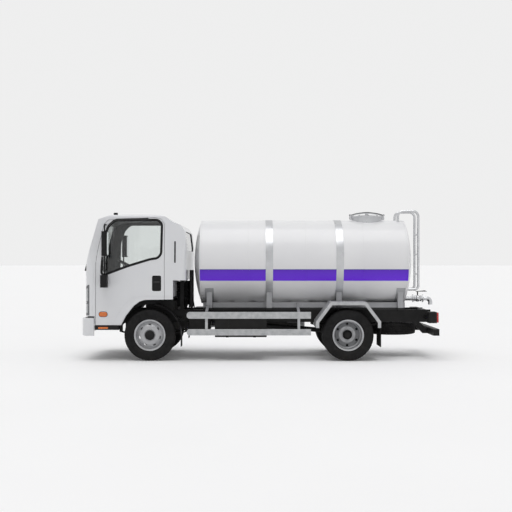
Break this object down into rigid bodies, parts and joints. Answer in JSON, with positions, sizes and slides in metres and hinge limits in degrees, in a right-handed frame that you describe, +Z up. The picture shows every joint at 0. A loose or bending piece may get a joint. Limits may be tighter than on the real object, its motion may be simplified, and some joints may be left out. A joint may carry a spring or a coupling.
{
  "type": "tanker truck",
  "caption": "Light forward-control truck with a round steel liquid tank, tilting cab, opening doors and filling lid, steered front wheels and free-rolling twin rear wheels.",
  "frame": {"origin": "on the ground, below the middle of the whole vehicle's box", "axes": "+X forward along the vehicle's length, +Y to the driver's left, +Z up"},
  "size_m": [5.5599, 2.33, 2.351],
  "materials": {
    "cab_paint": "gloss white paint",
    "tank_paint": "gloss white paint with a violet stripe",
    "frame_paint": "satin black paint",
    "subframe_paint": "satin grey paint",
    "polished_steel": "brushed",
    "galvanised": "satin",
    "rim_paint": "satin silver paint",
    "tyre_rubber": "matt",
    "black_rubber": "matt",
    "black_plastic": "grained",
    "lamp_plastic": "clear lens over a bright reflector",
    "red_lens": "red lens on a black box",
    "trim_plastic": "grained",
    "seat_cloth": "woven",
    "window_glass": "clear, lightly tinted",
    "cast": "as cast, painted"
  },
  "bodies": {
    "chassis": {"frame_rails": "frame_paint", "frame_crossmembers": "frame_paint", "front_axle": "cast", "rear_axle": "cast", "leaf_springs": "frame_paint", "engine": "cast", "propeller_shaft": "frame_paint", "exhaust": "cast", "front_bumper": "cab_paint", "air_intake": "black_plastic", "fuel_tank": "frame_paint", "battery_box": "black_plastic", "air_tank": "frame_paint", "side_guards": "galvanised", "front_mudguards": "black_plastic", "mud_flaps": "black_rubber", "tank_shell": "tank_paint", "tank_straps": "polished_steel", "tank_subframe": "subframe_paint", "tank_legs": "subframe_paint", "hatch_neck": "polished_steel", "ladder": "polished_steel", "outlet_valve": "polished_steel", "rear_fenders": "galvanised", "rear_guard": "frame_paint", "tail_lamps": "red_lens", "spare_wheel": "tyre_rubber", "cab_brackets": "frame_paint", "cab_rest": "frame_paint"},
    "lid": {"hatch_lid": "polished_steel"},
    "cab": {"cab_shell": "cab_paint", "cab_glass": "window_glass", "headlamps": "lamp_plastic", "grille": "black_plastic", "dashboard": "trim_plastic", "seats": "seat_cloth", "steering_wheel": "trim_plastic", "cab_sills": "black_plastic"},
    "left_door": {"door_left": "cab_paint", "door_glass_left": "window_glass", "mirror_left": "black_plastic"},
    "right_door": {"door_right": "cab_paint", "door_glass_right": "window_glass", "mirror_right": "black_plastic"},
    "left_knuckle": {"knuckle_left": "cast"},
    "right_knuckle": {"knuckle_right": "cast"},
    "track_rod": {"tie_rod": "frame_paint"},
    "front_wheel_left": {"front_tyre_left": "tyre_rubber", "front_rim_left": "rim_paint"},
    "front_wheel_right": {"front_tyre_right": "tyre_rubber", "front_rim_right": "rim_paint"},
    "rear_wheels_left": {"rear_tyres_left": "tyre_rubber", "rear_rims_left": "rim_paint"},
    "rear_wheels_right": {"rear_tyres_right": "tyre_rubber", "rear_rims_right": "rim_paint"}
  },
  "joints": [
    {"name": "cab_tilt", "type": "hinge", "parent": "chassis", "child": "cab", "pos_m": [2.66, 0, 0.725], "axis": [0, 1, 0], "range_deg": [0, 45]},
    {"name": "left_door_hinge", "type": "hinge", "parent": "cab", "child": "left_door", "pos_m": [2.539, 0.93, 1.3], "axis": [0, 0, -1], "range_deg": [0, 70]},
    {"name": "right_door_hinge", "type": "hinge", "parent": "cab", "child": "right_door", "pos_m": [2.539, -0.93, 1.3], "axis": [0, 0, 1], "range_deg": [0, 70]},
    {"name": "hatch_hinge", "type": "hinge", "parent": "chassis", "child": "lid", "pos_m": [-1.448, 0, 2.262], "axis": [0, 1, 0], "range_deg": [0, 100]},
    {"name": "left_steer", "type": "hinge", "parent": "chassis", "child": "left_knuckle", "pos_m": [1.71, 0.7, 0.392], "axis": [0, 0, 1], "range_deg": [-30, 30]},
    {"name": "right_steer", "type": "hinge", "parent": "chassis", "child": "right_knuckle", "pos_m": [1.71, -0.7, 0.392], "axis": [0, 0, 1], "range_deg": [-30, 30]},
    {"name": "track_rod_pivot", "type": "hinge", "parent": "left_knuckle", "child": "track_rod", "pos_m": [1.55, 0.7, 0.29], "axis": [0, 0, 1], "range_deg": [-30, 30]},
    {"name": "front_spin_left", "type": "hinge", "parent": "left_knuckle", "child": "front_wheel_left", "pos_m": [1.71, 0.82, 0.392], "axis": [0, 1, 0], "continuous": true},
    {"name": "front_spin_right", "type": "hinge", "parent": "right_knuckle", "child": "front_wheel_right", "pos_m": [1.71, -0.82, 0.392], "axis": [0, 1, 0], "continuous": true},
    {"name": "rear_spin_left", "type": "hinge", "parent": "chassis", "child": "rear_wheels_left", "pos_m": [-1.32, 0.732, 0.392], "axis": [0, 1, 0], "continuous": true},
    {"name": "rear_spin_right", "type": "hinge", "parent": "chassis", "child": "rear_wheels_right", "pos_m": [-1.32, -0.732, 0.392], "axis": [0, 1, 0], "continuous": true}
  ],
  "couplings": [
    {"joint": "right_steer", "follows": "left_steer", "ratio": 1},
    {"joint": "track_rod_pivot", "follows": "left_steer", "ratio": -1}
  ]
}
